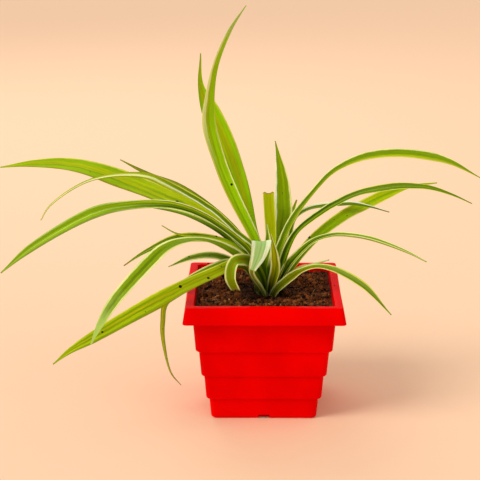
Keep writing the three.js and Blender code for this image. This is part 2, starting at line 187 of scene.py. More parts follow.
def tint(tree, share, first, second):
    """The first colour turning into the second as share goes from 0 to 1."""
    node = tree.nodes.new("ShaderNodeMix")
    node.data_type = "RGBA"
    for socket, source in zip((node.inputs[0], node.inputs[6], node.inputs[7]), (share, first, second)):
        wire(tree, socket, source)
    return node.outputs[2]


def mottle(tree, place, scale, detail=2.0, roughness=0.5):
    """Cloudy variation from 0 to 1 over a place."""
    node = tree.nodes.new("ShaderNodeTexNoise")
    wire(tree, node.inputs["Vector"], place)
    for name, amount in (("Scale", scale), ("Detail", detail), ("Roughness", roughness)):
        node.inputs[name].default_value = amount
    return node.outputs[0]


def finish_of(name):
    """A new material with its node tree, its main shader and a socket that gives the place on the piece."""
    material = bpy.data.materials.new(name)
    material.use_nodes = True
    tree = material.node_tree
    place = tree.nodes.new("ShaderNodeTexCoord").outputs["Object"]
    return material, tree, tree.nodes["Principled BSDF"], place


def dent(tree, shader, height, depth):
    """Raises and lowers the surface by height times depth, in metres."""
    node = tree.nodes.new("ShaderNodeBump")
    node.inputs["Strength"].default_value = 1.0
    node.inputs["Distance"].default_value = depth
    wire(tree, node.inputs["Height"], height)
    wire(tree, shader.inputs["Normal"], node.outputs[0])


def moulded_red():
    """Satin red plastic: slow clouds of a deeper red, an eggshell skin from the mould, faint scuffs."""
    material, tree, shader, place = finish_of("moulded_red")
    clouds = rise(tree, mottle(tree, place, 28.0), 0.35, 0.7)
    scuffs = rise(tree, mottle(tree, place, 420.0, 4.0, 0.65), 0.62, 0.8)
    colour = tint(tree, clouds, shade(*POT_RED), shade(*POT_DEEP_RED))
    worn = tint(tree, reckon(tree, "MULTIPLY", scuffs, 0.12), colour, shade(*POT_SCUFF))
    wire(tree, shader.inputs["Base Color"], worn)
    gloss = reckon(tree, "MULTIPLY_ADD", mottle(tree, place, 90.0), 0.16, 0.3)
    wire(tree, shader.inputs["Roughness"], gloss)
    shader.inputs["IOR"].default_value = 1.49
    shader.inputs["Specular IOR Level"].default_value = 0.02
    shader.inputs["Specular Tint"].default_value = (1.0, 0.3, 0.25, 1)
    eggshell = reckon(tree, "MULTIPLY_ADD", mottle(tree, place, 160.0), 2.0, mottle(tree, place, 1500.0))
    dent(tree, shader, eggshell, 0.00005)
    return material


underside = np.array([[4.0, 0.0], [18.0, 0.0], [32.0, 0.0], [38.2, 0.0]])
skirt = np.concatenate([
    [[RIM_HALF - WALL, RIM_TOP - WALL]],
    arc(SKIRT_HALF - WALL + EDGE, SKIRT_FOOT + EDGE, EDGE, 180, 270, 4),
    arc(SKIRT_HALF - EDGE, SKIRT_FOOT + EDGE, EDGE, -90, 8, 4),
    arc(RIM_HALF - EDGE, RIM_TOP - EDGE, EDGE, 8, 90),
    arc(NECK_HALF - WALL + EDGE, RIM_TOP - EDGE, EDGE, 90, 180),
])
inside = wall_line(WALL, FLOOR)[:-1][::-1]
inner_floor = underside[::-1] * [0.97, 0] + [0, FLOOR]
outside = wall_line(0, 0)
pot_line = np.concatenate([underside, outside, skirt, inside, inner_floor])
outer_rows, skirt_rows = len(underside) + len(outside), len(skirt)
pot_corners = np.full(len(pot_line), INNER_CORNER)
pot_corners[:outer_rows] = WALL_CORNER
pot_corners[outer_rows:outer_rows + skirt_rows] = RIM_CORNER
pot = piece("nursery_pot", skin("nursery_pot", square_rings(pot_line, pot_corners, bow=WALL_BOW)),
            moulded_red(), ["pot"])


def cut_slots(body):
    """Cuts the drain slots: a bar with the slot's section runs through the foot of each wall."""
    for side in range(4):
        bar = bpy.data.meshes.new("slot_bar")
        end = arc(SLOT_WIDTH / 2 - SLOT_ROUND, SLOT_HEIGHT - SLOT_ROUND, SLOT_ROUND, 0, 90)
        feet = np.array([[SLOT_WIDTH / 2, -SLOT_OVERCUT], [-SLOT_WIDTH / 2, -SLOT_OVERCUT]])
        outline = np.concatenate([feet[:1], end, end[::-1] * [-1, 1], feet[1:]])
        away = np.array([TIERS[0][1] - SLOT_DEPTH, TIERS[0][1] + SLOT_DEPTH])
        turn = side * math.pi / 2
        rings = [np.insert(outline, 1, -reach, axis=1) for reach in away]
        points = np.concatenate(rings) * MM
        spin = np.array([[math.cos(turn), -math.sin(turn)], [math.sin(turn), math.cos(turn)]])
        points[:, :2] = points[:, :2] @ spin.T
        count = len(outline)
        walls = [(i, (i + 1) % count, (i + 1) % count + count, i + count) for i in range(count)]
        ends = [tuple(range(count))[::-1], tuple(range(count, 2 * count))]
        bar.from_pydata(points.tolist(), [], walls + ends)
        cutter = bpy.data.objects.new("slot_bar", bar)
        bpy.context.scene.collection.objects.link(cutter)
        cut = body.modifiers.new("drain_slot", "BOOLEAN")
        cut.operation = "DIFFERENCE"
        cut.solver = "EXACT"
        cut.object = cutter
        cutter.hide_render = True
    bpy.context.view_layer.update()
    shaped = bpy.data.meshes.new_from_object(body.evaluated_get(bpy.context.evaluated_depsgraph_get()))
    for cut in list(body.modifiers):
        bpy.data.objects.remove(cut.object)
        body.modifiers.remove(cut)
    shaped.set_sharp_from_angle(angle=math.radians(38))
    body.data = shaped


cut_slots(pot)

# ======== Potting soil ========
# Moist potting mix of peat, bark crumbs and coir, filled in by hand to just under the rim. It is one
# settled body with a crumbly top. Loose crumbs, lumps and fibres lie on it, and a few crumbs on the rim.
SOIL_LEVEL = 97.0
SOIL_SINK = 1.6  # drop of the soil's top along the wall
SOIL_GAP = 0.3
HEAP_X, HEAP_Y, HEAP_RISE, HEAP_SPREAD = -14.0, 36.0, 1.8, 20.0
BROAD_RISE, LUMP_RISE, FINE_RISE, GRAIN_RISE = 0.68, 0.52, 1.4, 0.3
TOP_RINGS = 90
CROWN_X, CROWN_Y = 2.0, -7.0
CROWN_RADIUS = 8.9
SOIL_DARK = (28, 12, 4)
SOIL_BROWN = (104, 56, 22)
SOIL_RED = (136, 76, 36)
SOIL_TAN = (214, 172, 110)
CROWN_SHADE_ROUND = (0.034, 0.012)  # metres from the crown between which painted shade darkens the soil
REACH = 53.5  # of the loose bits from the middle
CRUMBS, CRUMB_LEAST, CRUMB_MOST = 3600, 0.35, 1.3
LUMPS, LUMP_LEAST, LUMP_MOST = 420, 1.0, 3.4
FIBRES, FIBRE_LEAST, FIBRE_MOST, FIBRE_RADIUS = 120, 4, 11, 0.16
chance = np.random.default_rng(7)


def waves(x, y, lengths, seed):
    """Uneven ground: many sine waves that run in random directions, with each height in step with its
    length from crest to crest. The result stays within about -1 to 1."""
    draw = np.random.default_rng(seed)
    turn, phase = draw.uniform(0, 2 * math.pi, (2, len(lengths)))
    total = np.zeros_like(x)
    for length, angle, start in zip(lengths, turn, phase):
        way = x * math.cos(angle) + y * math.sin(angle)
        total += length * np.sin(2 * math.pi * way / length + start)
    return total / (np.sum(lengths) * 0.5)


def soil_height(x, y):
    """Height of the soil's top: the solid's broad relief and low round heap, finer lumps on them, and a
    drop along the wall."""
    heap = HEAP_RISE * np.exp(-((x - HEAP_X) ** 2 + (y - HEAP_Y) ** 2) / (2 * HEAP_SPREAD ** 2))
    broad = np.sin(x * 0.11 + 1.3) * np.cos(y * 0.13 - 0.4)
    lumps = np.sin(x * 0.41 + y * 0.23) * np.cos(y * 0.37 - x * 0.19 + 0.8)
    fine = waves(x, y, np.geomspace(10, 2.6, 26), 3)
    grain = waves(x, y, np.geomspace(2.0, 0.9, 18), 4)
    share = np.maximum(np.abs(x), np.abs(y)) / 55.0
    relief = heap + BROAD_RISE * broad + LUMP_RISE * lumps + FINE_RISE * fine + GRAIN_RISE * grain
    return SOIL_LEVEL + relief - SOIL_SINK * np.minimum(share, 1) ** 8


def soil_body():
    """Square rings up the inside of the wall, and then inwards over the top with the soil's height."""
    wall = wall_line(WALL + SOIL_GAP, FLOOR + SOIL_GAP)
    wall = wall[wall[:, 1] < SOIL_LEVEL - SOIL_SINK - 1.5]
    low_half, low_z = wall[-1]
    climbed = (SOIL_LEVEL - SOIL_SINK - low_z) / (RIM_TOP - low_z)
    edge = low_half + (NECK_HALF - WALL - SOIL_GAP - low_half) * climbed
    foot = np.array([[6.0, wall[0, 1]], [24.0, wall[0, 1]]])
    top = np.stack([np.linspace(edge, 0.8, TOP_RINGS), np.full(TOP_RINGS, SOIL_LEVEL)], axis=1)
    line = np.concatenate([foot, wall, top])
    rings = square_rings(line, np.full(len(line), INNER_CORNER), turns=4, steps=44)
    x, y = rings[-TOP_RINGS:, :, 0] / MM, rings[-TOP_RINGS:, :, 1] / MM
    rings[-TOP_RINGS:, :, 2] = soil_height(x, y) * MM
    return skin("potting_soil", rings)


def round_stone(splits):
    """Corners and faces of a ball of near-equal triangles, split that many times."""
    bpy.ops.mesh.primitive_ico_sphere_add(subdivisions=splits, radius=1)
    ball = bpy.context.object
    corners = np.empty((len(ball.data.vertices), 3))
    faces = np.empty((len(ball.data.polygons), 3), int)
    ball.data.vertices.foreach_get("co", corners.ravel())
    ball.data.polygons.foreach_get("vertices", faces.ravel())
    bpy.data.objects.remove(ball)
    return corners, faces


def scatter(shape, places, sizes, squash):
    """Points and faces of a shape's copies at the places: each corner is pushed in or out at random, and
    each copy is scaled along three axes, turned by a random rotation and set down."""
    corners, faces = shape
    count = len(places)
    body = corners * chance.uniform(0.72, 1.18, (count, len(corners), 1))
    body = body * (sizes[:, None] * chance.uniform(squash, 1.0, (count, 3)))[:, None, :]
    turn = np.linalg.qr(chance.normal(size=(count, 3, 3)))[0]
    turn *= np.sign(np.linalg.det(turn))[:, None, None]
    points = np.einsum("cij,cpj->cpi", turn, body) + places[:, None, :]
    joined = faces[None] + (np.arange(count) * len(corners))[:, None, None]
    return points.reshape(-1, 3), [joined.reshape(-1, 3)]


def threads(places, length, radius):
    """Points and faces of short bent fibres: a three-sided tube along an arc that turns at random and
    lies nearly level."""
    steps = np.linspace(-0.5, 0.5, 7)
    count = len(places)
    heading, bend = chance.uniform(0, 2 * math.pi, count), chance.uniform(-1.6, 1.6, count)
    angle = heading[:, None] + bend[:, None] * steps
    line = np.zeros((count, len(steps), 3))
    line[..., 0] = np.cumsum(np.cos(angle), axis=1)
    line[..., 1] = np.cumsum(np.sin(angle), axis=1)
    line -= line.mean(axis=1, keepdims=True)
    line *= (length / len(steps))[:, None, None]
    line[..., 2] = chance.uniform(0.1, 0.9, (count, 1)) * (1 - (2 * steps) ** 2)
    across = np.stack([-np.sin(angle), np.cos(angle), np.zeros_like(angle)], axis=-1)
    round_trip = np.radians([90, 210, 330])[:, None]
    taper = radius * (1.05 - (2 * steps) ** 4)[None, :, None, None]
    section = np.cos(round_trip) * np.array([0, 0, 1.0]) + np.sin(round_trip) * across[:, :, None, :]
    points = (line + places[:, None, :])[:, :, None, :] + taper * section
    corner = np.arange(3)
    step = np.arange(len(steps) - 1)[:, None] * 3
    beside = (corner + 1) % 3
    side = np.stack([step + corner, step + beside, step + beside + 3, step + corner + 3], axis=-1)
    caps = np.array([[2, 1, 0], np.arange(3) + 3 * (len(steps) - 1)])
    onward = (np.arange(count) * 3 * len(steps))[:, None, None]
    faces = [(kind + onward).reshape(-1, kind.shape[-1]) for kind in (side.reshape(-1, 4), caps)]
    return points.reshape(-1, 3), faces


def strewn(count, reach, clear):
    """Random places on the soil within reach of the middle, clear of the crown by that much."""
    spot = chance.uniform(-reach, reach, (count * 2, 2))
    spot = spot[np.hypot(spot[:, 0] - CROWN_X, spot[:, 1] - CROWN_Y) > clear][:count]
    return np.column_stack([spot, soil_height(spot[:, 0], spot[:, 1])])


def loose_soil(name, parts, tones):
    """One mesh of loose bits, each with its own tone for the soil's colour."""
    points, faces, tone, start = [], [], [], 0
    for (corners, kinds), shades in zip(parts, tones):
        points.append(corners)
        faces += [face for kind in kinds for face in (kind + start).tolist()]
        tone.append(np.repeat(shades, len(corners) // len(shades)))
        start += len(corners)
    mesh = bpy.data.meshes.new(name)
    mesh.from_pydata((np.concatenate(points) * MM).tolist(), [], faces)
    column = mesh.attributes.new("tone", "FLOAT", "POINT")
    column.data.foreach_set("value", np.concatenate(tone).astype(np.float32))
    mesh.shade_smooth()
    return mesh


def damp_soil(name, loose):
    """Dark brown peat with reddish bark: clouds and grains of four browns, with painted shade darkening it
    round the crown in place of the leaves' shadow. Loose bits have a tone each."""
    material, tree, shader, place = finish_of(name)
    grain = mottle(tree, place, 480.0, 3.0, 0.7)
    clouds = mottle(tree, place, 110.0, 3.0, 0.6)
    amount = reckon(tree, "MULTIPLY_ADD", grain, 0.6, reckon(tree, "MULTIPLY", clouds, 0.5))
    if loose:
        tone = tree.nodes.new("ShaderNodeAttribute")
        tone.attribute_name = "tone"
        own = reckon(tree, "MULTIPLY", tone.outputs["Fac"], 0.72)
        amount = reckon(tree, "MULTIPLY_ADD", amount, 0.6, own)
    colour = tint(tree, rise(tree, amount, 0.42, 0.62), shade(*SOIL_DARK), shade(*SOIL_BROWN))
    colour = tint(tree, rise(tree, amount, 0.62, 0.8), colour, shade(*SOIL_RED))
    colour = tint(tree, rise(tree, amount, 0.98, 1.14), colour, shade(*SOIL_TAN))
    # Painted shade of the leaves: round the crown the soil is tinted most of the way to its darkest brown.
    away = tree.nodes.new("ShaderNodeVectorMath")
    away.operation = "DISTANCE"
    wire(tree, away.inputs[0], place)
    away.inputs[1].default_value = (CROWN_X * MM, CROWN_Y * MM, SOIL_LEVEL * MM)
    crown_shade = reckon(tree, "MULTIPLY", rise(tree, away.outputs["Value"], *CROWN_SHADE_ROUND), 0.75)
    wire(tree, shader.inputs["Base Color"], tint(tree, crown_shade, colour, shade(*SOIL_DARK)))
    wire(tree, shader.inputs["Roughness"], reckon(tree, "MULTIPLY_ADD", clouds, -0.25, 1.0))
    shader.inputs["Specular IOR Level"].default_value = 0.15
    dent(tree, shader, mottle(tree, place, 900.0, 4.0, 0.7), 0.0004)
    return material


piece("potting_soil", soil_body(), damp_soil("damp_soil", False), ["soil"])
crumb_sizes = np.clip(chance.lognormal(-0.35, 0.35, CRUMBS), CRUMB_LEAST, CRUMB_MOST)
lump_sizes = np.clip(chance.lognormal(0.5, 0.35, LUMPS), LUMP_LEAST, LUMP_MOST)
crumb_places = strewn(CRUMBS, REACH, CROWN_RADIUS)
crumb_places[:, 2] += crumb_sizes * 0.35
lump_places = strewn(LUMPS, REACH - 2, CROWN_RADIUS + 1)
lump_places[:, 2] += lump_sizes * 0.2
rim_spots = np.array([
    [-22, 58.6], [-27, 57.6], [-44, 57.2], [-47.5, 58.1], [31, 57.4], [-57.8, 21], [58.2, -3],
])
rim_places = np.column_stack([rim_spots, np.full(len(rim_spots), RIM_TOP + 0.25)])
rim_sizes = chance.uniform(0.4, 0.8, len(rim_spots))
fibre_places = strewn(FIBRES, REACH - 4, CROWN_RADIUS + 1)
fibre_places[:, 2] += 0.7
crumbs = loose_soil(
    "soil_crumbs",
    [scatter(round_stone(1), crumb_places, crumb_sizes, 0.6),
     scatter(round_stone(2), lump_places, lump_sizes, 0.55),
     scatter(round_stone(2), rim_places, rim_sizes, 0.6),
     threads(fibre_places, chance.uniform(FIBRE_LEAST, FIBRE_MOST, FIBRES), FIBRE_RADIUS)],
    [chance.beta(0.9, 1.5, CRUMBS), chance.beta(1.4, 1.6, LUMPS), np.full(len(rim_spots), 0.1),
     chance.uniform(0.4, 1.2, FIBRES)],
)
piece("soil_crumbs", crumbs, damp_soil("loose_soil", True))

# ======== Crown ========
# The short stock in the middle of the plant. It is pale living tissue with a dry papery skin, ringed by
# the scars of old leaves, and every leaf clasps it with its base.
CROWN_FOOT = 80.0
CROWN_TOP = 100.8
SCAR_STEP, SCAR_DEPTH = 1.7, 0.035
FOLDS, FOLD_DEPTH = 17, 0.03
CROWN_FLESH = (150, 150, 84)
CROWN_DRY = (112, 96, 48)
CROWN_DAMP = (70, 46, 28)


def stock():
    """A dome on a drum: the radius falls off as a quarter of an ellipse above the shoulder, and small
    steps and folds run round it as scars."""
    dome = (CROWN_TOP - SOIL_LEVEL) * np.sin(np.linspace(0.1, 1.5, 22))
    height = np.concatenate([np.linspace(CROWN_FOOT, SOIL_LEVEL, 20), SOIL_LEVEL + dome])
    share = np.clip((height - SOIL_LEVEL) / (CROWN_TOP - SOIL_LEVEL), 0, 1)
    scars = 1 - SCAR_DEPTH * np.mod(height, SCAR_STEP) / SCAR_STEP
    radius = CROWN_RADIUS * np.sqrt(1 - share ** 2) * scars
    angle = np.linspace(0, 2 * math.pi, 96, endpoint=False)
    folds = 1 - FOLD_DEPTH * (1 + np.cos(FOLDS * angle + 2 * np.sin(3 * angle))) / 2
    reach = radius[:, None] * folds
    x, y = CROWN_X + reach * np.cos(angle), CROWN_Y + reach * np.sin(angle)
    return skin("crown_stock", np.stack([x, y, np.broadcast_to(height[:, None], x.shape)], axis=-1) * MM)


def crown_tissue():
    """Pale olive flesh with brown, dry patches near the soil and a fine bumpy skin."""
    material, tree, shader, place = finish_of("crown_tissue")
    split = tree.nodes.new("ShaderNodeSeparateXYZ")
    wire(tree, split.inputs[0], place)
    dark_at_soil = rise(tree, split.outputs["Z"], CROWN_TOP * MM, SOIL_LEVEL * MM)
    patches = rise(tree, mottle(tree, place, 300.0, 3.0, 0.6), 0.4, 0.7)
    colour = tint(tree, patches, shade(*CROWN_FLESH), shade(*CROWN_DRY))
    wire(tree, shader.inputs["Base Color"], tint(tree, dark_at_soil, colour, shade(*CROWN_DAMP)))
    shader.inputs["Roughness"].default_value = 0.7
    dent(tree, shader, mottle(tree, place, 800.0, 3.0, 0.6), 0.0002)
    return material


piece("crown_stock", stock(), crown_tissue(), ["crown"])

# ======== Leaves ========
# Long strap leaves, each one blade of thin green tissue folded along its middle, deeply channelled where
# it clasps the crown and flatter towards its tip. Cream margins that hold no green run along the edges.
# Older leaves turn olive, and some are cut, creased or dried at their ends.
BLADE_THICK = 0.5
EDGE_THICK = 0.2
ROOT_KEEL = 0.6  # rise of the edges over the fold, as a share of half the width
TIP_KEEL = 0.12
KEEL_LENGTH = 0.625  # share of the length along which the keel flattens out
FOLD_SOFT = 0.03
EDGE_WAVE = 0.045
NOTCH, FRAY = 1.3, 0.5  # depth of the notch and of the teeth in a cut end
COLUMNS = 13
ROW_STEP = 1.1
CREASED_STEP = 0.45  # where a sharp crease has to be followed
GREENS = {
    "ivory": (236, 242, 206), "cream": (222, 229, 146), "straw": (202, 208, 78), "lime": (164, 181, 2),
    "gold": (162, 166, 6), "bright": (148, 194, 0), "fresh": (138, 172, 0), "leaf": (121, 150, 0),
    "moss": (95, 122, 0), "deep": (53, 80, 0), "olive": (134, 136, 4), "fern": (122, 144, 48),
    "sage": (168, 197, 94), "mint": (153, 191, 114), "frost": (209, 224, 182), "dry": (140, 118, 60),
}
# How a leaf ends: length of the stretch that changes colour, and the colour it turns to.
ENDS = {
    "point": (1.2, "olive"), "dry": (9.0, "dry"), "cut": (1.2, "dry"), "ragged": (2.4, "dry"),
    "torn": (1.0, "sage"), "faded": (50.0, "sage"),
}
SPECK = (34, 26, 8)
RECOLOUR = (0.4, 0.68)  # shares of the length between which the root's stripes turn into the tip's
BASE_SHADE = (34.0, 6.0)  # distances from the root between which painted shade darkens a leaf
# Distances from the middle in millimetres between which painted shade darkens the fold.
CREASE_SHADE_WIDTH = (0.4, 0.05)
RIB_PACE = 9.0

# Dark specks on a leaf: share of its length, distance from its middle towards the plus edge, and radius.
SPECKS = {
    "low_left_broad": [
        (0.46, -1.5, 1.3), (0.35, 2.2, 1.2), (0.79, 0.0, 0.8), (0.62, 3.2, 0.4), (0.28, -2.5, 0.5),
    ],
    "mid_left_dark": [(0.45, -3.2, 0.7)],
    "small_left": [(0.8, -1.4, 0.6), (0.62, 0.8, 0.4)],
    "arch_left_broad": [(0.41, -0.3, 1.3), (0.7, 3.0, 0.3)],
    "tall_left": [(0.38, -3.1, 1.0), (0.55, 2.0, 0.3)],
    "upright_point": [(0.66, 0.2, 0.3), (0.5, -2.0, 0.2)],
    "broad_right": [(0.3, 3.8, 1.1), (0.5, -1.6, 0.4), (0.44, 1.9, 0.3)],
    "hanging_left": [(0.7, 0.4, 0.5), (0.85, -0.6, 0.4)],
}
